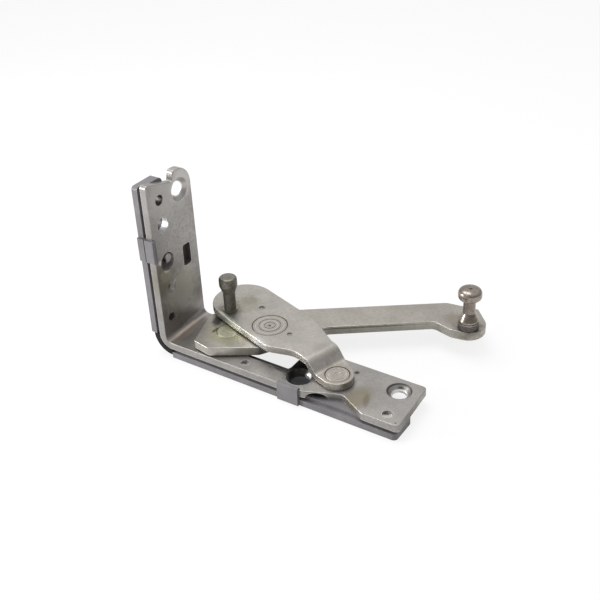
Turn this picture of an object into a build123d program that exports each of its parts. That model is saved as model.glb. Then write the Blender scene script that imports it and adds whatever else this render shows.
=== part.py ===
from build123d import *
from math import cos, radians, sin
import os

# Concealed window frame hinge, in millimetres.
# The origin is the corner of the window frame's rebate. X runs along the base arm,
# Y across it from the near edge to the side that the moving arms swing to, and Z up
# along the upright.

# Levels, stacked up from the frame
packer_thick = 4.8
steel_thick = 3.4
washer_thick = 0.4
lever_thick = 4.4
pad_gap = 0.15
pad_thick = 0.65
plate_thick = 3.2

steel_back = packer_thick
steel_face = steel_back + steel_thick
swing_floor = steel_face + washer_thick
lever_top = swing_floor + lever_thick
pad_floor = lever_top + pad_gap
plate_floor = pad_floor + pad_thick
plate_top = plate_floor + plate_thick
plate_step = plate_floor - swing_floor
low_plate_top = swing_floor + plate_thick

# Clearances, each on the radius
turn_clearance = 0.04
fit_clearance = 0.05
head_clearance = 0.2
head_play = 0.1

# Pressed steel: edge rounding, and the full angle of every countersink for a rivet
edge_round = 0.35
rivet_sink_angle = 90
head_chamfer = 0.3

# Steel angle
arm_width = 29.5
bend_radius = 3.0
bend_centre = steel_face + bend_radius
upright_height = 88.3
near_corner_radius = 1.5
ear_drop = 0.4
ear_width = 11.3
ear_flank = 0.9
ear_root_drop = 5.1
ear_radius = 9.0
ear_near_radius = 1.5
ear_root_radius = 0.8
base_length = 130.7
base_end_slant = 1.6
base_near_radius = 2.0
base_far_radius = 1.0
base_tip_radius = 2.0
cutout_start = 46.0
cutout_length = 24.0
cutout_edge = 9.5
cutout_radius = 3.5
recess_start = 83.5
recess_knee = 13.5
recess_top = 17.0
recess_length = 29.8
recess_knee_depth = 5.8
recess_depth = 6.7
recess_radius = 3.0
arch_offset = 6.0
arch_half_width = 4.6
arch_height = 3.0
arch_back = 7.4

# Packers behind and under the angle
packer_width = 14.5
packer_top_gap = 1.9
packer_corner = 2.5
packer_end_gap = 1.1
rebate_width = 2.0
rebate_depth = 1.7
clip_wall = 1.3
clip_lip = 1.0
clip_lip_width = 1.0
clip_round = 0.5
clip_tip_round = 0.4
clip_groove_x = 4.0
clip_groove_width = 0.5
clip_groove_depth = 0.5
upright_clip_start = 50.5
upright_clip_length = 11.3
base_clip_start = 71.3
base_clip_length = 10.7
corner_pad_thick = 3.2

# Screw holes
ear_screw_radius = 3.4
ear_sink_radius = 5.5
ear_sink_angle = 100
ear_screw_inset = 8.2
ear_screw_drop = 10.4
end_screw_radius = 3.2
end_sink_radius = 5.5
end_screw_inset = 10.9
end_screw_edge = 8.2
mid_screw_radius = 3.65
mid_screw_y = 7.9
mid_screw_drop = 22.1
base_sink_angle = 90
sink_screw_radius = 4.5
sink_screw_rim = 6.2
sink_screw_x = 77.3
sink_screw_y = 8.4

# Plain holes, slot and pegs of the upright
top_hole_radius = 2.5
top_hole_y = 7.5
top_hole_drop = 9.8
peg_window_radius = 4.5
peg_window_y = 8.0
peg_window_z = 47.5
low_hole_radius = 2.1
low_hole_y = 5.9
low_hole_z = 18.8
slot_edge = 5.4
slot_width = 5.3
slot_start = 39.3
slot_length = 10.8
slot_radius = 1.2
slot_lug_margin = 1.5
peg_radius = 2.3
peg_head_radius = 3.8
peg_head_thick = 1.2
upper_peg_y = 9.8
upper_peg_z = 48.0
lower_peg_y = 8.5
lower_peg_z = 34.4
peg_sink = 1.1
peg_round = 0.4

# Pegs of the base
slim_peg_radius = 2.0
slim_peg_head_radius = 3.2
slim_peg_x = 50.3
slim_peg_y = 4.7
end_peg_inset = 7.9
end_peg_y = 5.2
prick_radius = 0.5
prick_depth = 0.5
prick_inset = 2.2
prick_y = 1.7

# Lever pivot
lever_pivot_x = 32.83
lever_pivot_y = 16.16
lever_rivet_radius = 4.0
lever_rivet_tail = 5.5
lever_rivet_head = 5.4
lever_rivet_head_thick = 1.4
lever_bush_wall = 0.96
lever_washer_radius = 11.0

# Lever, in its own frame: u from the pivot to the stud, v to the far side
lever_angle = 31.26
lever_reach = 110.7
lever_tail = 15.2
lever_tail_slant = 5.0
lever_tail_corner = 7.4
lever_near_edge = 13.8
lever_near_start = 8.0
lever_near_end = 15.2
lever_throat_end = 45.5
lever_throat_edge = 1.6
lever_far_edge = 14.6
lever_far_rise = 6.3
eye_neck_inset = 15.1
eye_neck_edge = 4.9
eye_slope_inset = 8.0
eye_slope_edge = 2.2
eye_tip_overhang = 11.4
eye_tip_edge = 10.4
eye_end_overhang = 6.5
eye_end_edge = 14.7
eye_far_inset = 7.8
eye_radius = 8.3
lever_ring_radius = 6.8
lever_ring_width = 0.5
lever_ring_depth = 0.12

# Stud at the lever's end
stud_neck_radius = 2.8
stud_tail_radius = 3.6
stud_spigot_radius = 3.3
stud_collar_radius = 4.8
stud_collar_height = 2.9
stud_collar_round = 0.4
stud_shoulder_radius = 4.7
stud_shoulder_thick = 0.6
stud_groove_radius = 4.1
stud_cone_radius = 4.55
stud_cone_start = 3.9
stud_cone_rise = 0.8
stud_cone_height = 8.3
stud_neck_height = 14.9
stud_head_radius = 5.45
stud_head_widest = 17.4
stud_head_band = 0.8
stud_top = 21.2
stud_pip_radius = 0.9
stud_pip_height = 0.4

# Plate pivot
plate_pivot_x = 93.15
plate_pivot_y = 14.23
plate_rivet_radius = 3.5
plate_rivet_tail = 4.8
plate_rivet_head = 5.4
plate_rivet_head_thick = 1.2
plate_ring_radius = 3.6
plate_dimple_radius = 1.7
plate_bush_wall = 0.96
plate_washer_radius = 7.0

# Plate, in its own frame: u from the pivot towards the upright, v to the near side
plate_angle = 161.93
plate_boss_radius = 7.4
plate_boss_lead = 18.2
plate_flank_length = 8.9
plate_waist_u = 15.5
plate_waist_v = 9.95
plate_shoulder_u = 33.5
plate_near_waist_u = 20.5
plate_near_shoulder_u = 31.5
plate_near_edge = 14.45
plate_far_edge = 15.25
plate_round_u = 69.05
step_start = 7.5
step_run = 5.1
step_inner_radius = 2.5

# Guide disc, glide pad and its rivets in the plate
disc_u = 43.7
disc_v = 3.2
disc_radius = 8.2
disc_thick = 2.3
disc_shank_radius = 5.0
disc_chamfer = 0.3
groove_width = 0.35
groove_depth = 0.3
disc_groove_inner = 2.7
disc_groove_outer = 5.2
disc_dimple_radius = 0.8
pad_rivet_lead = 11.8
pad_rivet_drop = 2.2
pad_rivet_span = 26.4
pad_rivet_turn = -8.7
pad_rivet_radius = 1.05
pad_rivet_foot = 1.6
pad_foot_depth = 0.35
pad_rivet_sink = 0.4
pad_width = 12.0
pad_overhang = 4.0
pad_corner = 2.5

# Sash pin in the plate
pin_u = 67.0
pin_v = 8.8
pin_radius = 2.85
pin_tail_radius = 3.7
pin_flange_radius = 3.4
pin_flange_thick = 0.5
pin_flare_height = 9.5
pin_head_radius = 4.3
pin_head_height = 13.6
pin_top = 18.0
pin_top_round = 1.4
pin_flare_round = 3.0


def rounded_face(*corners):
    # A face on the sketch's plane, from corners given as (across, up, radius)
    with BuildLine() as outline:
        FilletPolyline(
            *[(across, up) for across, up, radius in corners],
            radius=[radius for across, up, radius in corners],
            close=True,
        )
    make_face(outline.edges())


def turned_profile(*points):
    # Half the section of a turned piece, from points given as (radius, height)
    with BuildLine() as outline:
        Polyline(*points, close=True)
    make_face(outline.edges())


# Frames of the two moving pieces
lever_plane = Plane(
    origin=(lever_pivot_x, lever_pivot_y, swing_floor),
    x_dir=(cos(radians(lever_angle)), sin(radians(lever_angle)), 0),
    z_dir=(0, 0, 1),
)
plate_plane = Plane(
    origin=(plate_pivot_x, plate_pivot_y, swing_floor),
    x_dir=(cos(radians(plate_angle)), sin(radians(plate_angle)), 0),
    z_dir=(0, 0, 1),
)
plate_side_plane = Plane(
    origin=plate_plane.origin,
    x_dir=plate_plane.x_dir,
    z_dir=-plate_plane.y_dir,
)


def upright_plane(x):
    # Facing +X at the given depth, with Y across and Z up
    return Plane(origin=(x, 0, 0), x_dir=(0, 1, 0), z_dir=(1, 0, 0))


def back_plane(x):
    # Facing -X, with -Y across and Z up
    return Plane(origin=(x, 0, 0), x_dir=(0, -1, 0), z_dir=(-1, 0, 0))


def under_plane(z):
    # Facing -Z, with X across and -Y up
    return Plane(origin=(0, 0, z), x_dir=(1, 0, 0), z_dir=(0, 0, -1))


def turning_plane(x, y):
    # Through a turned piece's axis, with the radius across and Z up
    return Plane(origin=(x, y, 0), x_dir=(1, 0, 0), z_dir=(0, -1, 0))


# Steel angle: round bend, upright with its raised ear, base arm with cut-out and recess
ear_top = upright_height - ear_drop
cutout_end = cutout_start + cutout_length
recess_end = recess_start + recess_length

with BuildPart() as angle_bracket:
    with BuildSketch(Plane.XZ):
        with Locations((bend_centre, bend_centre)):
            Circle(bend_radius + steel_thick)
            Circle(bend_radius, mode=Mode.SUBTRACT)
            Rectangle(bend_centre, bend_centre, align=(Align.MAX, Align.MAX), mode=Mode.INTERSECT)
    extrude(amount=-arm_width)
    with BuildSketch(upright_plane(steel_back)):
        rounded_face(
            (0, bend_centre, 0),
            (0, upright_height, near_corner_radius),
            (arm_width - ear_width - ear_flank, upright_height - ear_root_drop, ear_root_radius),
            (arm_width - ear_width, ear_top, ear_near_radius),
            (arm_width, ear_top, ear_radius),
            (arm_width, bend_centre, 0),
        )
    extrude(amount=steel_thick)
    with BuildSketch(Plane.XY.offset(steel_back)):
        rounded_face(
            (bend_centre, 0, 0),
            (recess_start, 0, recess_radius),
            (recess_start + recess_knee, recess_knee_depth, recess_radius),
            (recess_start + recess_top, recess_depth, recess_radius),
            (recess_end, 0, recess_radius),
            (base_length, 0, base_near_radius),
            (base_length - base_end_slant, arm_width, base_tip_radius),
            (cutout_end, arm_width, base_far_radius),
            (cutout_end, cutout_edge, cutout_radius),
            (cutout_start, cutout_edge, cutout_radius),
            (cutout_start, arm_width, base_far_radius),
            (bend_centre, arm_width, 0),
        )
    extrude(amount=steel_thick)

    # Rounded edges of the inner face, all but the two seams beside the bend
    inner_faces = angle_bracket.faces().filter_by_position(Axis.X, steel_face, steel_face)
    inner_faces += angle_bracket.faces().filter_by_position(Axis.Z, steel_face, steel_face)
    rim = inner_faces.edges().filter_by_position(Axis.X, bend_centre, base_length, (False, True))
    rim += inner_faces.edges().filter_by_position(Axis.Z, bend_centre, upright_height, (False, True))
    fillet(rim, edge_round)

    # Arched pocket behind the recess, open below and roofed by a thin skin of steel
    with BuildSketch(Plane.XZ.offset(-arch_back)):
        with Locations((recess_start + arch_offset, steel_back)):
            Ellipse(arch_half_width, arch_height)
    extrude(amount=arch_back, mode=Mode.SUBTRACT)

    # Holes of the upright, from its inner face
    with Locations(upright_plane(steel_face)):
        with Locations((arm_width - ear_screw_inset, upright_height - ear_screw_drop)):
            CounterSinkHole(ear_screw_radius, ear_sink_radius, counter_sink_angle=ear_sink_angle)
        with Locations((top_hole_y, upright_height - top_hole_drop)):
            Hole(top_hole_radius)
        with Locations((mid_screw_y, upright_height - mid_screw_drop)):
            Hole(mid_screw_radius)
        with Locations((peg_window_y, peg_window_z)):
            Hole(peg_window_radius)
        with Locations((lower_peg_y, lower_peg_z)):
            Hole(peg_radius + fit_clearance)
        with Locations((low_hole_y, low_hole_z)):
            Hole(low_hole_radius)
    with BuildSketch(upright_plane(steel_back)):
        with Locations((arm_width - slot_edge, slot_start)):
            RectangleRounded(slot_width, slot_length, slot_radius, align=(Align.MAX, Align.MIN))
    extrude(amount=steel_thick, mode=Mode.SUBTRACT)

    # Holes of the base arm, from its upper face
    with Locations(Plane.XY.offset(steel_face)):
        with Locations((base_length - end_screw_inset, arm_width - end_screw_edge)):
            CounterSinkHole(end_screw_radius, end_sink_radius, counter_sink_angle=base_sink_angle)
        with Locations((sink_screw_x, sink_screw_y)):
            CounterSinkHole(sink_screw_radius, sink_screw_rim, counter_sink_angle=base_sink_angle)
        with Locations((slim_peg_x, slim_peg_y)):
            Hole(slim_peg_radius + fit_clearance)
        with Locations((base_length - end_peg_inset, end_peg_y)):
            Hole(peg_radius + fit_clearance)
        with Locations((base_length - prick_inset, prick_y)):
            Hole(prick_radius, depth=prick_depth)

    # Rivet seats of the two pivots, countersunk from below
    with Locations(under_plane(steel_back)):
        with Locations((lever_pivot_x, -lever_pivot_y)):
            CounterSinkHole(
                lever_rivet_radius + fit_clearance,
                lever_rivet_tail + fit_clearance,
                counter_sink_angle=rivet_sink_angle,
            )
        with Locations((plate_pivot_x, -plate_pivot_y)):
            CounterSinkHole(
                plate_rivet_radius + fit_clearance,
                plate_rivet_tail + fit_clearance,
                counter_sink_angle=rivet_sink_angle,
            )


# Upright packer, with a lug behind the slot and a clip over the angle's near edge
with BuildPart() as upright_packer:
    with BuildSketch(upright_plane(0)):
        rounded_face(
            (0, bend_centre, 0),
            (0, upright_height - packer_top_gap, near_corner_radius),
            (packer_width, upright_height - packer_top_gap, packer_corner),
            (packer_width, bend_centre, 0),
        )
    extrude(amount=packer_thick)
    with BuildSketch(upright_plane(0)):
        with Locations((0, slot_start - slot_lug_margin)):
            RectangleRounded(
                arm_width - slot_edge + slot_lug_margin,
                slot_length + 2 * slot_lug_margin,
                slot_lug_margin,
                align=(Align.MIN, Align.MIN),
            )
    extrude(amount=packer_thick)
    with BuildSketch(upright_plane(packer_thick - rebate_depth)):
        with Locations((0, bend_centre)):
            Rectangle(rebate_width, upright_height, align=(Align.MIN, Align.MIN))
    extrude(amount=rebate_depth, mode=Mode.SUBTRACT)
    with BuildSketch(Plane.XY.offset(upright_clip_start)):
        rounded_face(
            (0, 0, 0),
            (0, -clip_wall, clip_round),
            (steel_face + clip_lip, -clip_wall, clip_round),
            (steel_face + clip_lip, clip_lip_width, clip_tip_round),
            (steel_face, clip_lip_width, 0),
            (steel_face, 0, 0),
        )
        with Locations((packer_thick - rebate_depth, 0)):
            Rectangle(rebate_depth, rebate_width, align=(Align.MIN, Align.MIN))
        with Locations((clip_groove_x, -clip_wall)):
            Rectangle(
                clip_groove_width,
                clip_groove_depth,
                align=(Align.CENTER, Align.MIN),
                mode=Mode.SUBTRACT,
            )
    extrude(amount=upright_clip_length)
    with Locations(upright_plane(packer_thick)):
        with Locations((mid_screw_y, upright_height - mid_screw_drop)):
            Hole(mid_screw_radius)
        with Locations((top_hole_y, upright_height - top_hole_drop)):
            Hole(top_hole_radius)
    with Locations(back_plane(0)):
        with Locations((-upper_peg_y, upper_peg_z), (-lower_peg_y, lower_peg_z)):
            CounterBoreHole(peg_radius + fit_clearance, peg_head_radius + fit_clearance, peg_head_thick)


# Base packer with its clip over the angle's near edge
with BuildPart() as base_packer:
    with BuildSketch(Plane.XY):
        rounded_face(
            (bend_centre, 0, 0),
            (base_length - packer_end_gap, 0, base_near_radius),
            (base_length - packer_end_gap, packer_width, base_near_radius),
            (bend_centre, packer_width, 0),
        )
    extrude(amount=packer_thick)
    with BuildSketch(Plane.XY.offset(packer_thick - rebate_depth)):
        with Locations((bend_centre, 0)):
            Rectangle(base_length, rebate_width, align=(Align.MIN, Align.MIN))
    extrude(amount=rebate_depth, mode=Mode.SUBTRACT)
    with BuildSketch(upright_plane(base_clip_start)):
        rounded_face(
            (0, 0, 0),
            (-clip_wall, 0, clip_round),
            (-clip_wall, steel_face + clip_lip, clip_round),
            (clip_lip_width, steel_face + clip_lip, clip_tip_round),
            (clip_lip_width, steel_face, 0),
            (0, steel_face, 0),
        )
        with Locations((0, packer_thick - rebate_depth)):
            Rectangle(rebate_width, rebate_depth, align=(Align.MIN, Align.MIN))
    extrude(amount=base_clip_length)
    with Locations(Plane.XY.offset(packer_thick)):
        with Locations((sink_screw_x, sink_screw_y)):
            Hole(sink_screw_radius)
    with Locations(under_plane(0)):
        with Locations((slim_peg_x, -slim_peg_y)):
            CounterBoreHole(
                slim_peg_radius + fit_clearance, slim_peg_head_radius + fit_clearance, peg_head_thick
            )
        with Locations((base_length - end_peg_inset, -end_peg_y)):
            CounterBoreHole(peg_radius + fit_clearance, peg_head_radius + fit_clearance, peg_head_thick)


# Dark pad around the outside of the bend, between the two packers
with BuildPart() as corner_pad:
    with BuildSketch(Plane.XZ):
        with Locations((bend_centre, bend_centre)):
            Circle(bend_radius + steel_thick + corner_pad_thick)
            Circle(bend_radius + steel_thick + fit_clearance, mode=Mode.SUBTRACT)
            Rectangle(bend_centre, bend_centre, align=(Align.MAX, Align.MAX), mode=Mode.INTERSECT)
    extrude(amount=-packer_width)


# Pegs that hold the packers, each with its head let into the packer's outer face
with BuildPart() as upright_packer_rivets:
    with BuildSketch(upright_plane(0)):
        with Locations((upper_peg_y, upper_peg_z), (lower_peg_y, lower_peg_z)):
            Circle(peg_head_radius)
    extrude(amount=peg_head_thick)
    with BuildSketch(upright_plane(0)):
        with Locations((upper_peg_y, upper_peg_z), (lower_peg_y, lower_peg_z)):
            Circle(peg_radius)
    extrude(amount=steel_face - peg_sink)
    tips = upright_packer_rivets.faces().sort_by(Axis.X)[-2:]
    fillet(tips.edges(), peg_round)

with BuildPart() as base_packer_rivets:
    with BuildSketch(Plane.XY):
        with Locations((slim_peg_x, slim_peg_y)):
            Circle(slim_peg_head_radius)
        with Locations((base_length - end_peg_inset, end_peg_y)):
            Circle(peg_head_radius)
    extrude(amount=peg_head_thick)
    with BuildSketch(Plane.XY):
        with Locations((slim_peg_x, slim_peg_y)):
            Circle(slim_peg_radius)
        with Locations((base_length - end_peg_inset, end_peg_y)):
            Circle(peg_radius)
    extrude(amount=steel_face - peg_sink)
    tips = base_packer_rivets.faces().sort_by(Axis.Z)[-2:]
    fillet(tips.edges(), peg_round)


# Lever pivot: flush rivet, bearing bush and washer
lever_bush_bore = lever_rivet_radius + turn_clearance
lever_bush_radius = lever_bush_bore + lever_bush_wall
lever_head_floor = lever_top - lever_rivet_head_thick

with BuildPart() as lever_pivot_rivet:
    with BuildSketch(turning_plane(lever_pivot_x, lever_pivot_y)):
        turned_profile(
            (0, steel_back),
            (lever_rivet_tail, steel_back),
            (lever_rivet_radius, steel_back + lever_rivet_tail - lever_rivet_radius),
            (lever_rivet_radius, lever_head_floor),
            (lever_rivet_head, lever_head_floor),
            (lever_rivet_head, lever_top - head_chamfer),
            (lever_rivet_head - head_chamfer, lever_top),
            (0, lever_top),
        )
    revolve(axis=Axis((lever_pivot_x, lever_pivot_y, 0), (0, 0, 1)))

with BuildPart() as lever_pivot_bush:
    with BuildSketch(Plane.XY.offset(swing_floor)):
        with Locations((lever_pivot_x, lever_pivot_y)):
            Circle(lever_bush_radius)
            Circle(lever_bush_bore, mode=Mode.SUBTRACT)
    extrude(amount=lever_head_floor - swing_floor)

with BuildPart() as lever_bearing_washer:
    with BuildSketch(Plane.XY.offset(steel_face)):
        with Locations((lever_pivot_x, lever_pivot_y)):
            Circle(lever_washer_radius)
            Circle(lever_rivet_radius + fit_clearance, mode=Mode.SUBTRACT)
    extrude(amount=washer_thick)


# Lever, crooked so that it swings past the plate's pivot, with an eye for the stud
with BuildPart() as carrying_lever:
    with BuildSketch(lever_plane):
        rounded_face(
            (-lever_tail + lever_tail_slant, lever_far_edge, 2.5),
            (-lever_tail, -lever_tail_corner, 1.5),
            (-lever_near_start, -lever_near_edge, 3.0),
            (lever_near_end, -lever_near_edge, 3.0),
            (lever_throat_end, lever_throat_edge, 12.0),
            (lever_reach - eye_neck_inset, eye_neck_edge, 4.0),
            (lever_reach - eye_slope_inset, -eye_slope_edge, 3.0),
            (lever_reach + eye_tip_overhang, -eye_tip_edge, eye_radius),
            (lever_reach + eye_end_overhang, eye_end_edge, 2.0),
            (lever_reach - eye_far_inset, lever_far_edge + lever_far_rise, 5.0),
        )
    extrude(amount=lever_thick)
    faces_up_down = carrying_lever.faces().filter_by(Axis.Z)
    fillet(faces_up_down.edges(), edge_round)
    with Locations(lever_plane.offset(lever_thick)):
        CounterBoreHole(
            lever_bush_radius + turn_clearance,
            lever_rivet_head + head_clearance,
            lever_rivet_head_thick + head_play,
        )
    with BuildSketch(lever_plane.offset(lever_thick)):
        Circle(lever_ring_radius + lever_ring_width / 2)
        Circle(lever_ring_radius - lever_ring_width / 2, mode=Mode.SUBTRACT)
    extrude(amount=-lever_ring_depth, mode=Mode.SUBTRACT)
    with Locations(lever_plane):
        with Locations(Location((lever_reach, 0, 0), (180, 0, 0))):
            CounterSinkHole(
                stud_neck_radius + fit_clearance,
                stud_tail_radius + fit_clearance,
                counter_sink_angle=rivet_sink_angle,
            )


# Turned stud with a mushroom head, riveted into the lever's eye, and the collar at its foot
stud_centre = lever_plane.from_local_coords((lever_reach, 0, 0))
stud_tail_height = stud_tail_radius - stud_neck_radius

with BuildPart() as bearing_stud:
    with BuildSketch(turning_plane(stud_centre.X, stud_centre.Y)):
        with BuildLine():
            foot = Polyline(
                (0, swing_floor),
                (stud_tail_radius, swing_floor),
                (stud_neck_radius, swing_floor + stud_tail_height),
                (stud_neck_radius, lever_top),
                (stud_spigot_radius, lever_top),
                (stud_spigot_radius, lever_top + stud_collar_height),
                (stud_shoulder_radius, lever_top + stud_collar_height),
                (stud_shoulder_radius, lever_top + stud_collar_height + stud_shoulder_thick),
                (stud_groove_radius, lever_top + stud_collar_height + stud_shoulder_thick),
                (stud_groove_radius, lever_top + stud_cone_start),
                (stud_cone_radius, lever_top + stud_cone_start),
                (stud_cone_radius, lever_top + stud_cone_start + stud_cone_rise),
                (stud_neck_radius, lever_top + stud_cone_height),
                (stud_neck_radius, lever_top + stud_neck_height),
            )
            under_head = Spline(
                foot @ 1,
                (stud_head_radius, lever_top + stud_head_widest),
                tangents=[(1, 0.25), (0, 1)],
            )
            band = Line(
                under_head @ 1,
                (stud_head_radius, lever_top + stud_head_widest + stud_head_band),
            )
            over_head = Spline(
                band @ 1,
                (stud_pip_radius, lever_top + stud_top),
                tangents=[(0, 1), (-1, 0.1)],
            )
            Polyline(
                over_head @ 1,
                (stud_pip_radius, lever_top + stud_top + stud_pip_height),
                (0, lever_top + stud_top + stud_pip_height),
                foot @ 0,
            )
        make_face()
    revolve(axis=Axis((stud_centre.X, stud_centre.Y, 0), (0, 0, 1)))

with BuildPart() as stud_bush:
    with BuildSketch(Plane.XY.offset(lever_top)):
        with Locations((stud_centre.X, stud_centre.Y)):
            Circle(stud_collar_radius)
            Circle(stud_spigot_radius + fit_clearance, mode=Mode.SUBTRACT)
    extrude(amount=stud_collar_height)
    outer_edges = stud_bush.edges().filter_by(GeomType.CIRCLE).sort_by(SortBy.RADIUS)[-2:]
    chamfer(outer_edges, stud_collar_round)


# Plate pivot: flush rivet, bearing bush and washer
plate_bush_bore = plate_rivet_radius + turn_clearance
plate_bush_radius = plate_bush_bore + plate_bush_wall
plate_head_floor = low_plate_top - plate_rivet_head_thick

with BuildPart() as plate_pivot_rivet:
    with BuildSketch(turning_plane(plate_pivot_x, plate_pivot_y)):
        turned_profile(
            (0, steel_back),
            (plate_rivet_tail, steel_back),
            (plate_rivet_radius, steel_back + plate_rivet_tail - plate_rivet_radius),
            (plate_rivet_radius, plate_head_floor),
            (plate_rivet_head, plate_head_floor),
            (plate_rivet_head, low_plate_top - head_chamfer),
            (plate_rivet_head - head_chamfer, low_plate_top),
            (plate_ring_radius + groove_width, low_plate_top),
            (plate_ring_radius + groove_width, low_plate_top - groove_depth),
            (plate_ring_radius, low_plate_top - groove_depth),
            (plate_ring_radius, low_plate_top),
            (plate_dimple_radius, low_plate_top),
            (plate_dimple_radius - groove_depth, low_plate_top - groove_depth),
            (0, low_plate_top - groove_depth),
        )
    revolve(axis=Axis((plate_pivot_x, plate_pivot_y, 0), (0, 0, 1)))

with BuildPart() as plate_pivot_bush:
    with BuildSketch(Plane.XY.offset(swing_floor)):
        with Locations((plate_pivot_x, plate_pivot_y)):
            Circle(plate_bush_radius)
            Circle(plate_bush_bore, mode=Mode.SUBTRACT)
    extrude(amount=plate_head_floor - swing_floor)

with BuildPart() as plate_bearing_washer:
    with BuildSketch(Plane.XY.offset(steel_face)):
        with Locations((plate_pivot_x, plate_pivot_y)):
            Circle(plate_washer_radius)
            Circle(plate_rivet_radius + fit_clearance, mode=Mode.SUBTRACT)
    extrude(amount=washer_thick)


# Plate, stepped down to its pivot and cut to its outline
plate_length = plate_round_u + plate_near_edge + plate_far_edge
plate_round_v = (plate_near_edge - plate_far_edge) / 2
plate_round_radius = (plate_near_edge + plate_far_edge) / 2
lead_u = -plate_boss_radius * sin(radians(plate_boss_lead))
lead_v = -plate_boss_radius * cos(radians(plate_boss_lead))
plate_upper_plane = plate_plane.offset(plate_step)
pad_rivet_u = disc_u - pad_rivet_lead
pad_rivet_v = disc_v - pad_rivet_drop
pad_turn = Location((pad_rivet_u, pad_rivet_v, pad_floor - swing_floor), (0, 0, pad_rivet_turn))
pad_plane = Plane(plate_plane.location * pad_turn)
pad_rivet_places = [
    (pad_rivet_u, pad_rivet_v),
    (
        pad_rivet_u + pad_rivet_span * cos(radians(pad_rivet_turn)),
        pad_rivet_v + pad_rivet_span * sin(radians(pad_rivet_turn)),
    ),
]

with BuildPart() as control_plate:
    with BuildSketch(plate_side_plane):
        with BuildLine():
            underside = FilletPolyline(
                (-plate_boss_radius, 0),
                (step_start, 0),
                (step_start + step_run, plate_step),
                (plate_length, plate_step),
                radius=[step_inner_radius + plate_thick, step_inner_radius],
            )
            offset(underside, amount=plate_thick, side=Side.LEFT)
        make_face()
    extrude(amount=plate_length, both=True)
    with BuildSketch(plate_plane):
        rounded_face(
            (0, plate_boss_radius, 0),
            (plate_near_waist_u, plate_boss_radius, 12.0),
            (plate_near_shoulder_u, plate_near_edge, 10.0),
            (plate_round_u, plate_near_edge, 0),
            (plate_round_u, -plate_far_edge, 0),
            (plate_shoulder_u, -plate_far_edge, 20.0),
            (plate_waist_u, -plate_waist_v, 6.0),
            (
                lead_u + plate_flank_length * cos(radians(plate_boss_lead)),
                lead_v - plate_flank_length * sin(radians(plate_boss_lead)),
                5.0,
            ),
            (lead_u, lead_v, 0),
        )
        Circle(plate_boss_radius)
        with Locations((plate_round_u, plate_round_v)):
            Circle(plate_round_radius)
    extrude(amount=plate_top - swing_floor, mode=Mode.INTERSECT)

    # Rounded upper rim, along both levels and down the step between them
    walls = control_plate.faces().filter_by(lambda face: abs(face.normal_at().Z) < 0.01)
    upward = control_plate.faces().filter_by(lambda face: face.normal_at().Z > 0.01)
    fillet(upward.edges() & walls.edges(), edge_round)

    with Locations(plate_plane.offset(low_plate_top - swing_floor)):
        CounterBoreHole(
            plate_bush_radius + turn_clearance,
            plate_rivet_head + head_clearance,
            plate_rivet_head_thick + head_play,
        )
    with Locations(plate_plane.offset(plate_top - swing_floor)):
        with Locations((disc_u, disc_v)):
            CounterBoreHole(
                disc_shank_radius + fit_clearance, disc_radius + fit_clearance, disc_thick
            )
    with Locations(plate_upper_plane):
        with Locations(Location((pin_u, pin_v, 0), (180, 0, 0))):
            CounterSinkHole(
                pin_radius + fit_clearance,
                pin_tail_radius + fit_clearance,
                counter_sink_angle=rivet_sink_angle,
            )
        with Locations(pad_rivet_places):
            Hole(pad_rivet_radius + fit_clearance)


# Turned disc let into the plate, with its rings
disc_centre = plate_plane.from_local_coords((disc_u, disc_v, 0))

with BuildPart() as guide_disc:
    with BuildSketch(turning_plane(disc_centre.X, disc_centre.Y)):
        turned_profile(
            (0, plate_floor),
            (disc_shank_radius, plate_floor),
            (disc_shank_radius, plate_top - disc_thick),
            (disc_radius, plate_top - disc_thick),
            (disc_radius, plate_top - disc_chamfer),
            (disc_radius - disc_chamfer, plate_top),
            (disc_groove_outer, plate_top),
            (disc_groove_outer, plate_top - groove_depth),
            (disc_groove_outer - groove_width, plate_top - groove_depth),
            (disc_groove_outer - groove_width, plate_top),
            (disc_groove_inner, plate_top),
            (disc_groove_inner, plate_top - groove_depth),
            (disc_groove_inner - groove_width, plate_top - groove_depth),
            (disc_groove_inner - groove_width, plate_top),
            (disc_dimple_radius, plate_top),
            (0, plate_top - disc_dimple_radius),
        )
    revolve(axis=Axis((disc_centre.X, disc_centre.Y, 0), (0, 0, 1)))


# Glide pad under the plate and the two small rivets that hold it
with BuildPart() as glide_pad:
    with BuildSketch(pad_plane):
        with Locations((pad_rivet_span / 2, 0)):
            RectangleRounded(pad_rivet_span + 2 * pad_overhang, pad_width, pad_corner)
    extrude(amount=pad_thick)
    with Locations(Plane(origin=pad_plane.origin, x_dir=pad_plane.x_dir, z_dir=(0, 0, -1))):
        with Locations((0, 0), (pad_rivet_span, 0)):
            CounterBoreHole(
                pad_rivet_radius + fit_clearance, pad_rivet_foot + fit_clearance, pad_foot_depth
            )

with BuildPart() as glide_pad_rivets:
    with BuildSketch(pad_plane):
        with Locations((0, 0), (pad_rivet_span, 0)):
            Circle(pad_rivet_foot)
    extrude(amount=pad_foot_depth)
    with BuildSketch(pad_plane):
        with Locations((0, 0), (pad_rivet_span, 0)):
            Circle(pad_rivet_radius)
    extrude(amount=plate_top - pad_floor - pad_rivet_sink)


# Sash pin with a flared head, riveted through the plate
pin_centre = plate_plane.from_local_coords((pin_u, pin_v, 0))

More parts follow.
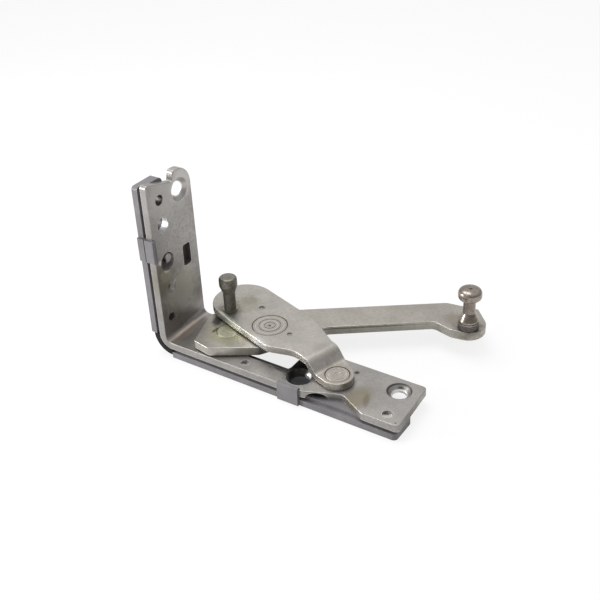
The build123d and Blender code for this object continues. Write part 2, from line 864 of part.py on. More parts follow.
with BuildPart() as sash_pin:
    with BuildSketch(turning_plane(pin_centre.X, pin_centre.Y)):
        turned_profile(
            (0, plate_floor),
            (pin_tail_radius, plate_floor),
            (pin_radius, plate_floor + pin_tail_radius - pin_radius),
            (pin_radius, plate_top),
            (pin_flange_radius, plate_top),
            (pin_flange_radius, plate_top + pin_flange_thick),
            (pin_radius, plate_top + pin_flange_thick),
            (pin_radius, plate_top + pin_flare_height),
            (pin_head_radius, plate_top + pin_head_height),
            (pin_head_radius, plate_top + pin_top),
            (0, plate_top + pin_top),
        )
    revolve(axis=Axis((pin_centre.X, pin_centre.Y, 0), (0, 0, 1)))
    ends_of_flare = sash_pin.edges().filter_by(GeomType.CIRCLE).group_by(Axis.Z)[-3:-1]
    fillet(ends_of_flare[0] + ends_of_flare[1], pin_flare_round)
    fillet(sash_pin.faces().sort_by(Axis.Z)[-1].edges(), pin_top_round)


parts = {
    "angle_bracket": angle_bracket,
    "upright_packer": upright_packer,
    "base_packer": base_packer,
    "corner_pad": corner_pad,
    "upright_packer_rivets": upright_packer_rivets,
    "base_packer_rivets": base_packer_rivets,
    "lever_pivot_rivet": lever_pivot_rivet,
    "lever_pivot_bush": lever_pivot_bush,
    "lever_bearing_washer": lever_bearing_washer,
    "carrying_lever": carrying_lever,
    "bearing_stud": bearing_stud,
    "stud_bush": stud_bush,
    "plate_pivot_rivet": plate_pivot_rivet,
    "plate_pivot_bush": plate_pivot_bush,
    "plate_bearing_washer": plate_bearing_washer,
    "control_plate": control_plate,
    "guide_disc": guide_disc,
    "glide_pad": glide_pad,
    "glide_pad_rivets": glide_pad_rivets,
    "sash_pin": sash_pin,
}
os.makedirs("parts", exist_ok=True)
for name, piece in parts.items():
    piece.part.label = name
    export_step(piece.part, f"parts/{name}.step")
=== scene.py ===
import math

import bpy
from mathutils import Euler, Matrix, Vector


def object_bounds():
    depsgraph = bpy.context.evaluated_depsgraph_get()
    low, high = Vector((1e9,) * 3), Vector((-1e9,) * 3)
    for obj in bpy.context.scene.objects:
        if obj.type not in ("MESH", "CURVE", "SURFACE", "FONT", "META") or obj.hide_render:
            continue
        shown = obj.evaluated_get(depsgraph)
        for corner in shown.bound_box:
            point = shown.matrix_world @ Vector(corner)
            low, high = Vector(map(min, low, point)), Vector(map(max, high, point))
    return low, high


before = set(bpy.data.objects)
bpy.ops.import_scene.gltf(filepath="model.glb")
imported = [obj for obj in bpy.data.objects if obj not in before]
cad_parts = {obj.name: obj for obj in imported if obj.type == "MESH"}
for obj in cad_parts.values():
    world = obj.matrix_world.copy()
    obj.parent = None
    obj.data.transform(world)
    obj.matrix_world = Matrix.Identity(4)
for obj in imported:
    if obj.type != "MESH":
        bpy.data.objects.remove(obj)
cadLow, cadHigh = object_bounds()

mm = 0.001

# places that the finishes refer to, X and Y in mm
pinCentre = (26.72, 26.64)
discCentre = (50.61, 24.74)
platePivot = (93.15, 14.23)
studCentre = (127.46, 73.6)
endScrew = (119.8, 21.3)
armTurn = 33.7      # degrees from X to the lever's arm
# heights of the top faces in mm; the upright's face lies at steelFace too, but along X
steelFace = 8.2
wallTop = 8.1       # marks on a hole's wall end just below the face
coneFoot = 7.0      # and at a countersink, where its cone starts
lowPlateTop = 11.8
leverTop = 13.0
plateTop = 17.0

# how stains, painted light and shade, and rings fade out, as shares of their reach or width; raggedSize
# and lip are in mm
patchFade = {"raggedSize": 2.4, "solid": 0.45, "gone": 1.15}
ringFade = {"raggedSize": 1.5, "ragged": 0.3, "solid": 0.25, "gone": 1.1, "lip": 0.4}


# Node trees: a small wrapper keeps each finish readable

class Finish:
    # one material, with its nodes added one after another
    def __init__(self, name):
        self.material = bpy.data.materials.new(name)
        self.material.use_nodes = True
        self.tree = self.material.node_tree
        self.tree.nodes.clear()
        self.output = self.add("ShaderNodeOutputMaterial")
        self.shader = self.add("ShaderNodeBsdfPrincipled")
        self.join(self.shader, "BSDF", self.output, "Surface")
        self.coords = self.add("ShaderNodeTexCoord")
        self.place = (self.coords, "Object")

    def add(self, kind, **settings):
        node = self.tree.nodes.new(kind)
        for key, value in settings.items():
            setattr(node, key, value)
        return node

    def join(self, source, outlet, target, inlet):
        self.tree.links.new(source.outputs[outlet], target.inputs[inlet])

    def feed(self, target, inlet, value):
        # a value is a number, a colour, or a (node, outlet) pair
        if isinstance(value, tuple) and not isinstance(value[0], (int, float)):
            self.join(value[0], value[1], target, inlet)
        else:
            target.inputs[inlet].default_value = value

    def noise(self, size, detail, roughness):
        # size is the width of a blotch in mm
        node = self.add("ShaderNodeTexNoise")
        self.feed(node, "Vector", self.place)
        self.feed(node, "Scale", 1 / (size * mm))
        self.feed(node, "Detail", detail)
        self.feed(node, "Roughness", roughness)
        return node, "Fac"

    def maths(self, operation, first, second=0.5, third=0.5):
        node = self.add("ShaderNodeMath", operation=operation)
        for inlet, value in enumerate((first, second, third)):
            self.feed(node, inlet, value)
        return node, "Value"

    def spread(self, value, low, high, start=0.0, end=1.0):
        # the range low to high becomes start to end, with soft ends
        node = self.add("ShaderNodeMapRange", interpolation_type="SMOOTHSTEP")
        self.feed(node, "Value", value)
        self.feed(node, "From Min", low)
        self.feed(node, "From Max", high)
        self.feed(node, "To Min", start)
        self.feed(node, "To Max", end)
        return node, "Result"

    def mix(self, factor, first, second):
        node = self.add("ShaderNodeMix", data_type="RGBA")
        colourA, colourB, colourOut = 6, 7, 2      # by number, because other sockets share their names
        self.feed(node, "Factor", factor)
        for inlet, value in ((colourA, first), (colourB, second)):
            if len(value) == 3:
                value = (*value, 1.0)
            self.feed(node, inlet, value)
        return node, colourOut

    def bump(self, height, depth):
        # depth is in mm
        node = self.add("ShaderNodeBump")
        self.feed(node, "Height", height)
        self.feed(node, "Distance", depth * mm)
        return node, "Normal"

    def edges(self, radius):
        # 1 where the surface turns within the radius in mm, 0 on the flat
        flatDot, turnedDot = 0.995, 0.86
        rounded = self.add("ShaderNodeBevel", samples=6)
        self.feed(rounded, "Radius", radius * mm)
        plain = self.add("ShaderNodeNewGeometry")
        dot = self.add("ShaderNodeVectorMath", operation="DOT_PRODUCT")
        self.feed(dot, 0, (rounded, "Normal"))
        self.feed(dot, 1, (plain, "Normal"))
        return self.spread((dot, "Value"), flatDot, turnedDot)

    def distance(self, centre, stretch, turn=0):
        # distance from a centre in mm, along axes that are turned about Z and stretched
        mapping = self.add("ShaderNodeMapping", vector_type="TEXTURE")
        self.feed(mapping, "Vector", self.place)
        mapping.inputs["Location"].default_value = [value * mm for value in centre]
        mapping.inputs["Rotation"].default_value = (0, 0, math.radians(turn))
        mapping.inputs["Scale"].default_value = stretch
        length = self.add("ShaderNodeVectorMath", operation="LENGTH")
        self.feed(length, 0, (mapping, "Vector"))
        return length, "Value"

    def patch(self, row):
        # 1 around a mark's centre, fading out ragged
        reach = row["reach"] * mm
        away = self.distance(row["centre"], row["flat"], row["turn"])
        ragged = self.noise(patchFade["raggedSize"], detail=4.0, roughness=0.6)
        swing = reach * row["fuzz"]
        wobble = self.maths("MULTIPLY_ADD", ragged, swing, -0.5 * swing)      # the noise averages a half
        away = self.maths("ADD", away, wobble)
        return self.spread(away, patchFade["solid"] * reach, patchFade["gone"] * reach, 1.0, 0.0)

    def ring(self, row):
        # 1 at a ring's radius and below its height along the axis, fading out over its width
        width = row["width"] * mm
        endless = 1e4      # so that only the distance from the axis counts
        stretch = [endless if letter == row["axis"] else 1 for letter in "XYZ"]
        away = self.distance(row["centre"], stretch)
        away = self.maths("ABSOLUTE", self.maths("SUBTRACT", away, row["radius"] * mm))
        ragged = self.noise(ringFade["raggedSize"], detail=3.0, roughness=0.6)
        away = self.maths("MULTIPLY_ADD", ragged, ringFade["ragged"] * width, away)
        mark = self.spread(away, ringFade["solid"] * width, ringFade["gone"] * width, 1.0, 0.0)
        along = self.add("ShaderNodeSeparateXYZ")
        self.feed(along, "Vector", self.place)
        lip = row["below"] - ringFade["lip"]
        inside = self.spread((along, row["axis"]), lip * mm, row["below"] * mm, 1.0, 0.0)
        return self.maths("MULTIPLY", mark, inside)

    def covered(self, tone, look):
        # the look's stains, painted light and shade, and rings, painted over the tone
        marks = [(self.patch(row), row) for row in look["stainsAndLight"]]
        marks += [(self.ring(row), row) for row in look["rings"]]
        for mark, row in marks:
            tone = self.mix(self.maths("MULTIPLY", mark, row["strength"]), tone, row["tone"])
        return tone

    def paint(self, *names):
        # put the finish on CAD nodes
        for name in names:
            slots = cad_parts[name].data.materials
            slots.clear()
            slots.append(self.material)


def stainAndLight(centre, reach, tone, strength, fuzz=0.5, flat=(1, 1, 1), turn=0):
    # a patch of colour, used for stains and for painted light and shade; centre and reach in mm; fuzz
    # makes the edge ragged, and flat stretches it along axes that are turned about Z by degrees
    return {
        "centre": centre, "reach": reach, "tone": tone, "strength": strength,
        "fuzz": fuzz, "flat": flat, "turn": turn,
    }


def circle(centre, radius, width, tone, strength, axis="Z", below=100):
    # a ring around the axis through the centre, drawn below a height along that axis, in mm
    return {
        "centre": centre, "radius": radius, "width": width, "tone": tone, "strength": strength,
        "axis": axis, "below": below,
    }


def makeSteel(name, look):
    # plated sheet steel: cloudy tone, fine rolled grain, specks, worn edges with a painted highlight
    finish = Finish(name)
    clouds = finish.noise(look["cloudSize"], detail=4.0, roughness=0.6)
    mottle = finish.noise(look["mottleSize"], detail=5.0, roughness=0.65)
    grain = finish.noise(look["grainSize"], detail=3.0, roughness=0.6)
    specks = finish.noise(look["speckSize"], detail=2.0, roughness=0.5)
    wornAndSheen = finish.edges(look["wearAndSheenWidth"])

    tone = finish.mix(finish.spread(clouds, *look["wideBand"]), look["dark"], look["light"])
    for value, band, amount, colour in (
        (mottle, "mottleBand", "mottle", "stainAndLight"),
        (specks, "speckBand", "specks", "speckTone"),
        (grain, "grainBand", "grain", "grainTone"),
    ):
        tone = finish.mix(finish.spread(value, *look[band], 0.0, look[amount]), tone, look[colour])
    # edges turn paler, for wear and as a painted highlight
    tone = finish.mix(finish.maths("MULTIPLY", wornAndSheen, look["wearAndSheen"]), tone, look["wearAndSheenTone"])
    rough = finish.spread(mottle, *look["wideBand"], look["smooth"], look["rough"])
    rough = finish.maths("MULTIPLY_ADD", grain, look["grainRough"], rough)
    height = finish.maths("MULTIPLY_ADD", mottle, look["mottleRelief"], grain)

    finish.feed(finish.shader, "Base Color", finish.covered(tone, look))
    finish.feed(finish.shader, "Roughness", rough)
    finish.feed(finish.shader, "Normal", finish.bump(height, look["relief"]))
    finish.shader.inputs["Metallic"].default_value = look["metallic"]
    return finish


# sizes, the width of the edge wear and highlight, and relief are in mm, and a band is the part of a
# noise over which its tone comes in
sheetLook = {
    "dark": (0.30, 0.285, 0.275),
    "light": (0.40, 0.385, 0.37),
    "cloudSize": 14.0,
    "wideBand": (0.3, 0.7),
    "stainAndLight": (0.24, 0.225, 0.205),
    "mottle": 0.65,
    "mottleSize": 1.6,
    "mottleBand": (0.42, 0.68),
    "mottleRelief": 0.6,
    "specks": 0.5,
    "speckSize": 0.5,
    "speckTone": (0.10, 0.095, 0.09),
    "speckBand": (0.68, 0.76),
    "grain": 0.3,
    "grainSize": 0.35,
    "grainTone": (0.47, 0.455, 0.44),
    "grainBand": (0.35, 0.7),
    "grainRough": 0.12,
    "wearAndSheen": 0.75,
    "wearAndSheenWidth": 0.5,
    "wearAndSheenTone": (0.80, 0.79, 0.77),
    "smooth": 0.30,
    "rough": 0.42,
    "relief": 0.02,
    "metallic": 0.9,
    "stainsAndLight": (),
    "rings": (),
}
# the first two tones below serve for dirt and also for painted shade; the pale tone of small specks is a
# painted glint; and the last two metal tones are burnished metal that also paints highlights on hole
# walls
blackGreaseAndShade = (0.012, 0.011, 0.01)
brownGrimeAndShade = (0.10, 0.075, 0.05)
studGrime = (0.06, 0.045, 0.03)
oliveTint = (0.215, 0.188, 0.13)
ringBrown = (0.13, 0.092, 0.062)
paintedGlint = (0.80, 0.79, 0.74)
freshMetalAndSheen = (0.80, 0.79, 0.77)
burnishAndHighlight = (0.95, 0.94, 0.93)

print("steel angle")
angleLook = {
    **sheetLook,
    "dark": (0.26, 0.245, 0.235),
    "light": (0.35, 0.335, 0.32),
    "stainsAndLight": (
        # painted shade in and around the middle hole, under the plate's edge, and out towards the
        # cut-out
        stainAndLight((76.0, 10.0, 7.0), 8.0, blackGreaseAndShade, 0.95, fuzz=0.7),
        stainAndLight((71.5, 15.5, steelFace), 4.2, blackGreaseAndShade, 0.85, fuzz=1.0),
        stainAndLight((76.0, 17.5, steelFace), 4.0, blackGreaseAndShade, 0.8, fuzz=1.0),
        stainAndLight((83.0, 13.5, steelFace), 3.8, blackGreaseAndShade, 0.85, fuzz=1.0),
        stainAndLight((68.5, 8.8, steelFace), 2.6, blackGreaseAndShade, 0.6, fuzz=1.0, flat=(2.2, 0.7, 1)),
        # an olive patch beside the recess with its darker edge, a painted shadow beside the plate's end,
        # and brown on the base around the lever's pivot
        stainAndLight((107.0, 8.5, steelFace), 8.0, oliveTint, 0.75, fuzz=0.3, flat=(0.8, 1.2, 1)),
        stainAndLight((110.8, 8.6, steelFace), 3.0, brownGrimeAndShade, 0.4, fuzz=0.6, flat=(0.55, 1.8, 1), turn=22),
        stainAndLight((97.5, 23.5, steelFace), 1.4, blackGreaseAndShade, 0.8),
        stainAndLight((32.8, 16.2, steelFace), 15.0, brownGrimeAndShade, 0.3, fuzz=0.9),
        # painted highlight along the inside of the bend, and painted light low on the upright
        stainAndLight((11.5, 12.0, 9.2), 3.2, (0.52, 0.43, 0.36), 0.7, flat=(1, 5, 1)),
        stainAndLight((steelFace, 15.0, 29.0), 13.0, (0.66, 0.655, 0.575), 0.65, fuzz=0.9),
        # painted light towards the top and on the ear
        stainAndLight((steelFace, 12.0, 80.0), 14.0, (0.40, 0.385, 0.365), 0.8, fuzz=0.6),
        stainAndLight((steelFace, 23.0, 80.0), 9.0, (0.56, 0.54, 0.52), 0.8, fuzz=0.6),
        # painted shade on the end wall
        stainAndLight((130.6, 14.0, 6.2), 12.0, (0.15, 0.135, 0.12), 0.7, flat=(0.1, 1.4, 0.25)),
        # film between the upright's pegs, and painted shade on the far wall of the end hole
        stainAndLight((steelFace, 3.0, 40.0), 7.0, oliveTint, 0.5, flat=(1, 0.8, 1.6)),
        stainAndLight((118.5, 25.0, 5.8), 2.0, blackGreaseAndShade, 0.85),
        # film around the lower peg, and painted glints on its hole's rim
        stainAndLight((steelFace, 8.3, 34.0), 3.4, oliveTint, 0.55, fuzz=1.2),
        stainAndLight((steelFace, 5.6, 41.2), 4.0, (0.50, 0.48, 0.36), 0.5, fuzz=1.8),
        stainAndLight((8.0, 10.9, 35.8), 0.9, paintedGlint, 0.8, fuzz=0.8),
        stainAndLight((8.0, 9.4, 31.9), 0.9, paintedGlint, 0.8, fuzz=0.8),
        # painted highlights on the middle hole's wall and around the upright's upper peg
        stainAndLight((79.6, 12.2, 5.8), 2.6, (0.95, 0.94, 0.92), 1.0, flat=(1, 1, 0.9)),
        stainAndLight((8.0, 6.4, 43.8), 1.9, (0.75, 0.73, 0.62), 0.9, fuzz=1.2),
        stainAndLight((steelFace, 3.2, 49.0), 1.6, (0.8, 0.78, 0.72), 0.8, fuzz=1.0),
    ),
    "rings": (
        # walls of the upright's holes: burnished and painted bright as a highlight, with painted shade
        # in the small top hole
        circle((0, 7.9, 66.2), 3.65, 0.6, burnishAndHighlight, 0.9, "X", wallTop),
        circle((0, 7.5, 78.5), 2.5, 0.6, (0.09, 0.083, 0.075), 0.8, "X", wallTop),
        circle((0, 8.0, 47.5), 4.5, 0.6, freshMetalAndSheen, 0.9, "X", wallTop),
        circle((0, 8.5, 34.4), 2.35, 0.6, burnishAndHighlight, 0.9, "X", wallTop),
        circle((0, 21.3, 77.9), 3.4, 0.8, burnishAndHighlight, 0.9, "X", coneFoot),
        # walls of the base's holes, burnished and painted bright as a highlight, and painted shade on
        # the rim of its end countersink
        circle((50.3, 4.7, 0), 2.05, 0.6, freshMetalAndSheen, 0.8, "Z", wallTop),
        circle((122.8, 5.2, 0), 2.35, 0.6, burnishAndHighlight, 0.9, "Z", wallTop),
        circle((*endScrew, 0), 3.2, 0.8, burnishAndHighlight, 0.9, "Z", coneFoot),
        circle((*endScrew, 0), 5.3, 0.7, blackGreaseAndShade, 0.75),
    ),
}
makeSteel("angleSteel", angleLook).paint("angle_bracket")

print("lever")
leverLook = {
    **sheetLook,
    "dark": (0.36, 0.335, 0.30),
    "light": (0.44, 0.415, 0.375),
    "stainAndLight": (0.29, 0.27, 0.22),
    "stainsAndLight": (
        # yellow film over the pivot, with painted shadow from the plate's edge beside it
        stainAndLight((33.5, 15.0, leverTop), 11.0, (0.36, 0.35, 0.20), 0.7, fuzz=0.8),
        stainAndLight((23.6, 19.6, leverTop), 3.2, blackGreaseAndShade, 0.8, fuzz=0.9, flat=(1.5, 0.8, 1), turn=-50),
        stainAndLight((27.3, 13.6, leverTop), 1.5, brownGrimeAndShade, 0.85, fuzz=1.0, flat=(0.7, 1.7, 1)),
        # painted light on the near side
        stainAndLight((38.0, 5.0, 10.5), 6.0, (0.60, 0.61, 0.54), 0.6, flat=(3.0, 0.4, 0.5)),
        # painted shade on the side of the arm, darkest under its upper edge
        stainAndLight((91.0, 54.0, 9.4), 8.0, (0.22, 0.215, 0.18), 0.7, 0.2, (5, 0.5, 0.4), armTurn),
        stainAndLight((88.0, 52.0, 11.9), 8.0, (0.08, 0.083, 0.055), 0.75, 0.1, (4.5, 0.4, 0.075), armTurn),
        # brown around the stud
        stainAndLight((*studCentre, leverTop), 7.4, brownGrimeAndShade, 0.75, fuzz=0.8),
        stainAndLight((119.5, 76.5, leverTop), 5.5, (0.25, 0.215, 0.18), 0.6, fuzz=0.9),
        # darker where the arm leaves the plate
        stainAndLight((50.0, 34.0, leverTop), 9.0, brownGrimeAndShade, 0.5, fuzz=0.9),
    ),
}
makeSteel("leverSteel", leverLook).paint("carrying_lever")

print("plate and disc")
plateLook = {
    **sheetLook,
    "dark": (0.36, 0.34, 0.315),
    "light": (0.46, 0.435, 0.40),
    "stainAndLight": (0.30, 0.28, 0.24),
    "stainsAndLight": (
        # painted shadow and reflection of the pin around its foot, a smudge behind it, and tint around
        # the disc and the pivot
        stainAndLight((*pinCentre, plateTop), 7.0, (0.13, 0.115, 0.085), 0.8, fuzz=0.9),
        stainAndLight((31.0, 34.0, plateTop), 8.0, (0.27, 0.26, 0.19), 0.45, fuzz=1.2),
        stainAndLight((*discCentre, plateTop), 10.0, (0.30, 0.26, 0.20), 0.35, fuzz=0.9),
        stainAndLight((*platePivot, lowPlateTop), 8.6, (0.24, 0.20, 0.15), 0.5, fuzz=0.8),
        # painted highlight on the near side
        stainAndLight((50.5, 11.4, 15.8), 4.6, (0.80, 0.80, 0.78), 0.5, flat=(2.0, 0.9, 0.5)),
        stainAndLight((30.0, 19.2, 15.4), 5.0, (0.95, 0.98, 0.90), 1.0, flat=(2.4, 0.6, 0.5), turn=-18),
        # smudges behind the pin, and painted shade on the step
        stainAndLight((30.5, 37.0, plateTop), 4.8, (0.24, 0.22, 0.175), 0.45, fuzz=2.2),
        stainAndLight((24.0, 32.5, plateTop), 3.5, (0.20, 0.18, 0.14), 0.6, fuzz=1.8),
        stainAndLight((82.3, 22.5, 14.0), 6.5, (0.27, 0.255, 0.225), 0.45, fuzz=0.9),
        # dirt around the two small rivets
        stainAndLight((39.0, 35.1, plateTop), 1.7, blackGreaseAndShade, 0.95, fuzz=0.3),
        stainAndLight((62.5, 23.2, plateTop), 1.5, blackGreaseAndShade, 0.95, fuzz=0.3),
    ),
    "rings": (
        circle((*discCentre, 0), 8.25, 0.5, ringBrown, 0.7),
        circle((*platePivot, 0), 5.6, 0.4, ringBrown, 0.6),
    ),
}
makeSteel("plateSteel", plateLook).paint("control_plate")

discLook = {
    **sheetLook,
    "dark": (0.33, 0.305, 0.265),
    "light": (0.41, 0.38, 0.33),
    "rings": (
        # brown in the turned grooves and the centre, bright on the lands between
        circle((*discCentre, 0), 8.1, 0.45, ringBrown, 0.75),
        circle((*discCentre, 0), 5.0, 0.55, ringBrown, 0.6),
        circle((*discCentre, 0), 2.5, 0.5, ringBrown, 0.6),
        circle((*discCentre, 0), 0.2, 0.7, blackGreaseAndShade, 0.9),
        circle((*discCentre, 0), 6.6, 0.3, freshMetalAndSheen, 0.35),
        circle((*discCentre, 0), 3.8, 0.3, freshMetalAndSheen, 0.35),
    ),
}
makeSteel("discSteel", discLook).paint("guide_disc")

print("rivets, stud and pin")
rivetLook = {**sheetLook, "dark": (0.32, 0.29, 0.25), "light": (0.40, 0.37, 0.32)}
makeSteel("rivetSteel", rivetLook).paint("plate_pivot_rivet", "glide_pad_rivets")

yellowLook = {**sheetLook, "dark": (0.42, 0.41, 0.27), "light": (0.5, 0.49, 0.34)}
makeSteel("yellowSteel", yellowLook).paint("lever_pivot_rivet")

studLook = {
    **sheetLook,
    "dark": (0.17, 0.135, 0.11),
    "light": (0.36, 0.31, 0.265),
    "stainAndLight": (0.10, 0.075, 0.055),
    "smooth": 0.16,
    "rough": 0.28,
    "wearAndSheen": 0.25,
    "stainsAndLight": (
        # brown on the cone
        stainAndLight((130.0, 73.0, 15.8), 3.0, studGrime, 0.75, fuzz=1.3),
        stainAndLight((127.9, 70.6, 18.2), 1.8, studGrime, 0.7, fuzz=1.3),
    ),
}
makeSteel("studSteel", studLook).paint("bearing_stud")

pinLook = {
    **sheetLook,
    "dark": (0.14, 0.135, 0.108),
    "light": (0.23, 0.22, 0.18),
    "stainAndLight": (0.08, 0.075, 0.055),
    "smooth": 0.35,
    "rough": 0.5,
    "wearAndSheen": 0.3,
}
makeSteel("pinSteel", pinLook).paint("sash_pin")

collarLook = {
    **sheetLook,
    "dark": (0.022, 0.016, 0.012),
    "light": (0.05, 0.038, 0.03),
    "stainAndLight": (0.015, 0.011, 0.009),
    "wearAndSheen": 0.2,
    "metallic": 0.6,
}
makeSteel("darkSteel", collarLook).paint("stud_bush")

pegLook = {
    **sheetLook,
    "dark": (0.40, 0.385, 0.38),
    "light": (0.52, 0.50, 0.49),
    "stainsAndLight": (
        # painted shade on one side of each peg, in its recess
        stainAndLight((8.0, 7.7, 47.6), 1.3, blackGreaseAndShade, 0.9, flat=(2, 0.7, 1.8)),
        stainAndLight((7.2, 7.6, 34.2), 1.3, blackGreaseAndShade, 0.75, flat=(2, 0.8, 1.6)),
        stainAndLight((49.1, 5.7, 7.2), 1.3, blackGreaseAndShade, 0.7, flat=(1.4, 0.8, 1)),
        stainAndLight((121.4, 6.4, 7.2), 1.4, blackGreaseAndShade, 0.8, flat=(1.5, 0.8, 1)),
    ),
}
makeSteel("pegSteel", pegLook).paint("upright_packer_rivets", "base_packer_rivets")

bushLook = {**sheetLook, "dark": (0.55, 0.40, 0.16), "light": (0.65, 0.50, 0.24)}
makeSteel("bushBrass", bushLook).paint("lever_pivot_bush", "plate_pivot_bush")


def makePlastic(name, look):
    # moulded plastic: fine grain, faint flow clouds, edges paler from wear and a painted highlight
    finish = Finish(name)
    clouds = finish.noise(look["cloudSize"], detail=3.0, roughness=0.6)
    grain = finish.noise(look["grainSize"], detail=4.0, roughness=0.6)
    wornAndSheen = finish.edges(look["wearAndSheenWidth"])
    tone = finish.mix(finish.spread(clouds, *look["wideBand"]), look["dark"], look["light"])
    # edges turn paler, for wear and as a painted highlight
    tone = finish.mix(finish.maths("MULTIPLY", wornAndSheen, look["wearAndSheen"]), tone, look["wearAndSheenTone"])
    rough = finish.spread(grain, *look["wideBand"], look["smooth"], look["rough"])
    finish.feed(finish.shader, "Base Color", finish.covered(tone, look))
    finish.feed(finish.shader, "Roughness", rough)
    finish.feed(finish.shader, "Normal", finish.bump(grain, look["relief"]))
    finish.shader.inputs["Specular IOR Level"].default_value = look["shine"]
    return finish


print("packers, washers and corner pad")
plasticLook = {
    "dark": (0.135, 0.127, 0.134),
    "light": (0.172, 0.163, 0.170),
    "cloudSize": 9.0,
    "wideBand": (0.3, 0.7),
    "grainSize": 0.25,
    "wearAndSheen": 0.35,
    "wearAndSheenWidth": 0.4,
    "wearAndSheenTone": (0.30, 0.29, 0.30),
    "smooth": 0.38,
    "rough": 0.5,
    "relief": 0.01,
    "shine": 0.5,
    "stainsAndLight": (),
    "rings": (),
}
deepShade = (0.012, 0.011, 0.011)
boreShade = (0.03, 0.028, 0.028)
packerLook = {
    **plasticLook,
    "stainsAndLight": (
        # painted shade in the bores of the upright's packer and on its lug behind the slot, with painted
        # light on the packer beside the peg
        stainAndLight((2.4, 7.9, 66.2), 5.2, boreShade, 0.95, fuzz=0.2, flat=(0.9, 1, 1)),
        stainAndLight((2.4, 7.5, 78.5), 3.8, boreShade, 0.95, fuzz=0.2, flat=(1.2, 1, 1)),
        stainAndLight((4.0, 7.0, 47.5), 5.5, boreShade, 0.9, fuzz=0.2, flat=(0.6, 1, 1)),
        stainAndLight((4.0, 11.4, 49.0), 2.6, (0.30, 0.28, 0.28), 0.8, fuzz=0.2),
        stainAndLight((4.8, 21.5, 44.7), 7.5, (0.07, 0.05, 0.04), 0.9, fuzz=0.2, flat=(0.3, 0.6, 1)),
        # painted shade in the bore and pocket of the base's packer
        stainAndLight((77.3, 8.4, 2.4), 6.4, deepShade, 1.0, fuzz=0.2, flat=(1, 1, 0.8)),
        stainAndLight((87.7, 6.2, 3.6), 3.4, deepShade, 0.95, fuzz=0.2, flat=(1.6, 1, 1)),
        # painted shade down the clip's lip
        stainAndLight((8.6, 0.6, 56.0), 1.6, (0.07, 0.065, 0.068), 0.7, fuzz=0.2, flat=(1, 0.6, 5)),
    ),
}
makePlastic("packerPlastic", packerLook).paint("upright_packer", "base_packer")

washerLook = {**plasticLook, "dark": (0.5, 0.49, 0.45), "light": (0.56, 0.55, 0.5)}
makePlastic("washerPlastic", washerLook).paint(
    "lever_bearing_washer", "plate_bearing_washer", "glide_pad"
)

padLook = {
    **plasticLook,
    "dark": (0.006, 0.006, 0.007),
    "light": (0.011, 0.011, 0.012),
    "wearAndSheenTone": (0.02, 0.02, 0.02),
    "smooth": 0.65,
    "rough": 0.8,
    "relief": 0.05,
    "shine": 0.2,
}
makePlastic("blackPad", padLook).paint("corner_pad")

print("camera")
cameraLook = {
    "place": (271.675, -272.106, 266.911),      # mm
    "turn": (57.324, 2.270, 32.986),            # degrees
    "lens": 58.18,
    "sensor": 36,
    "nearest": 10,                              # mm
}
camera = bpy.data.objects.new("camera", bpy.data.cameras.new("camera"))
bpy.context.scene.collection.objects.link(camera)
camera.location = [value * mm for value in cameraLook["place"]]
camera.rotation_euler = Euler([math.radians(value) for value in cameraLook["turn"]])
camera.data.lens = cameraLook["lens"]
camera.data.sensor_width = cameraLook["sensor"]
camera.data.clip_start = cameraLook["nearest"] * mm
bpy.context.scene.camera = camera

print("floor")
# metal mirrors a floor that is bright in front of the near edge and dim behind it
floorLook = {
    "size": 6.0,              # m
    "drop": 0.05,             # mm below the part
    "tone": (0.9, 0.9, 0.9),
    "rough": 0.9,
    "lift": 0.8,              # towards white where the camera sees it
    "mirrorBright": 0.85,
    "mirrorDim": 0.25,
    "brightTo": -4,           # mm along Y, as is dimFrom
    "dimFrom": 22,
}
bpy.ops.object.select_all(action="DESELECT")
bpy.ops.mesh.primitive_plane_add(
    size=floorLook["size"], location=(0, 0, cadLow.z - floorLook["drop"] * mm)
)
floor = bpy.context.active_object
floor.name = "floor"
paper = Finish("paper")
paper.shader.inputs["Roughness"].default_value = floorLook["rough"]
paper.shader.inputs["Base Color"].default_value = (*floorLook["tone"], 1)
glow = paper.add("ShaderNodeEmission")
path = paper.add("ShaderNodeLightPath")
blend = paper.add("ShaderNodeMixShader")
seen = paper.maths("MULTIPLY", (path, "Is Camera Ray"), floorLook["lift"])
across = paper.add("ShaderNodeSeparateXYZ")
paper.feed(across, "Vector", paper.place)
side = paper.spread(
    (across, "Y"), floorLook["brightTo"] * mm, floorLook["dimFrom"] * mm,
    floorLook["mirrorBright"], floorLook["mirrorDim"],
)
mirrored = paper.maths("MULTIPLY", (path, "Is Glossy Ray"), side)
paper.feed(blend, 0, paper.maths("MAXIMUM", seen, mirrored))
paper.join(paper.shader, "BSDF", blend, 1)
paper.join(glow, "Emission", blend, 2)
paper.join(blend, "Shader", paper.output, "Surface")
floor.data.materials.append(paper.material)

print("tent and lamps")
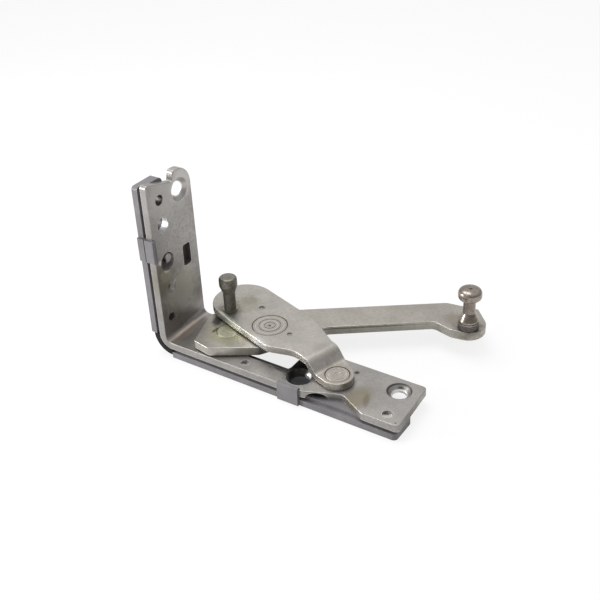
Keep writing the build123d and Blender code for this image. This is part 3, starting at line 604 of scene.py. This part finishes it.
# the tent's wall is bright behind the upright and overhead, and dark on the camera's side
tentLook = {
    "bright": 0.8,
    "dark": 0.2,
    "seen": 1.0,                      # white where the camera sees it
    "toward": (-0.6, 0.2, 0.7),       # direction of the bright side
    "darkBelow": -0.6,
    "brightAbove": 0.6,
}
world = bpy.data.worlds.new("tent")
bpy.context.scene.world = world
world.use_nodes = True
tent = world.node_tree
tent.nodes.clear()
wall = tent.nodes.new("ShaderNodeBackground")
wall.inputs["Color"].default_value = (1, 1, 1, 1)      # white, and its strength does the rest
direction = tent.nodes.new("ShaderNodeTexCoord")
facing = tent.nodes.new("ShaderNodeVectorMath")
facing.operation = "DOT_PRODUCT"
facing.inputs[1].default_value = tentLook["toward"]
fade = tent.nodes.new("ShaderNodeMapRange")
fade.interpolation_type = "SMOOTHSTEP"
fade.inputs["From Min"].default_value = tentLook["darkBelow"]
fade.inputs["From Max"].default_value = tentLook["brightAbove"]
fade.inputs["To Min"].default_value = tentLook["dark"]
fade.inputs["To Max"].default_value = tentLook["bright"]
ray = tent.nodes.new("ShaderNodeLightPath")
brightness = tent.nodes.new("ShaderNodeMapRange")
brightness.inputs["To Max"].default_value = tentLook["seen"]
tentOut = tent.nodes.new("ShaderNodeOutputWorld")
tent.links.new(direction.outputs["Generated"], facing.inputs[0])
tent.links.new(facing.outputs["Value"], fade.inputs["Value"])
tent.links.new(fade.outputs["Result"], brightness.inputs["To Min"])
tent.links.new(ray.outputs["Is Camera Ray"], brightness.inputs["Value"])
tent.links.new(brightness.outputs["Result"], wall.inputs["Strength"])
tent.links.new(wall.outputs["Background"], tentOut.inputs["Surface"])

# places, aims and sizes in mm, power in watts
lampLook = {
    "over": {"place": (-60, 80, 520), "aim": (60, 20, 10), "size": 360, "power": 1.5},
    "left": {"place": (-360, -250, 130), "aim": (40, 10, 20), "size": 200, "power": 2.4},
}
for name, look in lampLook.items():
    lamp = bpy.data.objects.new(name, bpy.data.lights.new(name, "AREA"))
    bpy.context.scene.collection.objects.link(lamp)
    lamp.data.shape = "DISK"
    lamp.data.size = look["size"] * mm
    lamp.data.energy = look["power"]
    lamp.location = [value * mm for value in look["place"]]
    aim = Vector([value * mm for value in look["aim"]]) - lamp.location
    lamp.rotation_euler = aim.to_track_quat("-Z", "Y").to_euler()

bpy.context.scene.view_settings.view_transform = "Standard"
